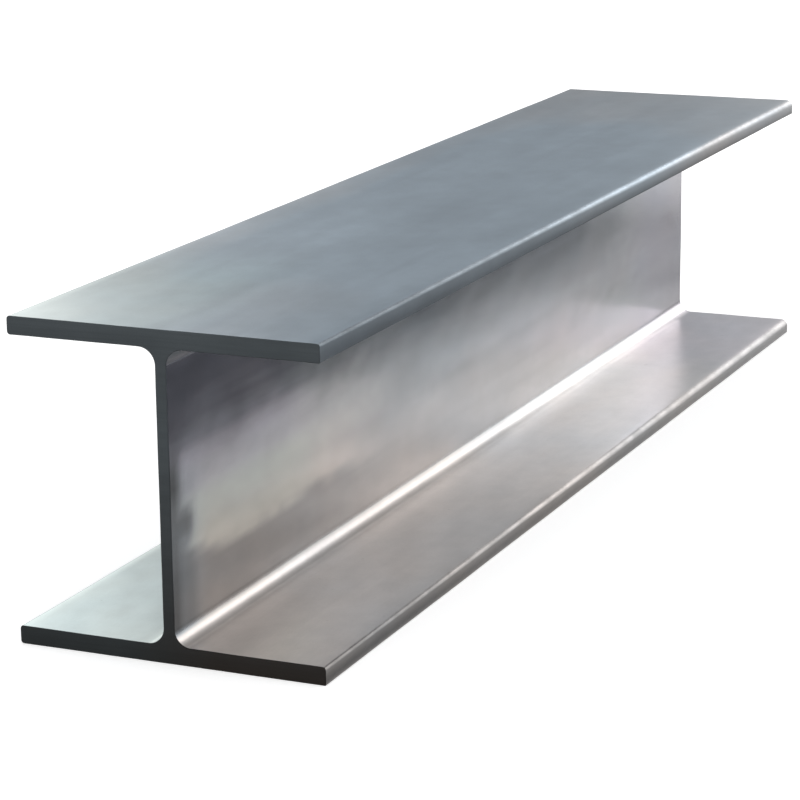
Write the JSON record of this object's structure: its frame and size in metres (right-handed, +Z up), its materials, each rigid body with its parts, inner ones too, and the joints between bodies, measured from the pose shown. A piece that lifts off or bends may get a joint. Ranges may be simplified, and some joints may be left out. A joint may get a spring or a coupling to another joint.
{
  "type": "steel h-beam",
  "caption": "Hot-rolled wide-flange steel H-beam with parallel flanges, a thinner web and rolled root fillets, sawn square at its ends; structural stock for columns and girders.",
  "frame": {"origin": "middle of the bottom flange's outer face, under the web, at half the length", "axes": "+Z up through the web to the top flange, +Y along the beam, +X across the flanges to the right when looking along +Y"},
  "size_m": [0.25, 1.175, 0.25],
  "materials": {
    "rolled_steel": "clean hot-rolled grey steel with a satin sheen, faint streaks along the length and darker sawn ends"
  },
  "bodies": {
    "root": {"h_beam": "rolled_steel"}
  },
  "joints": []
}
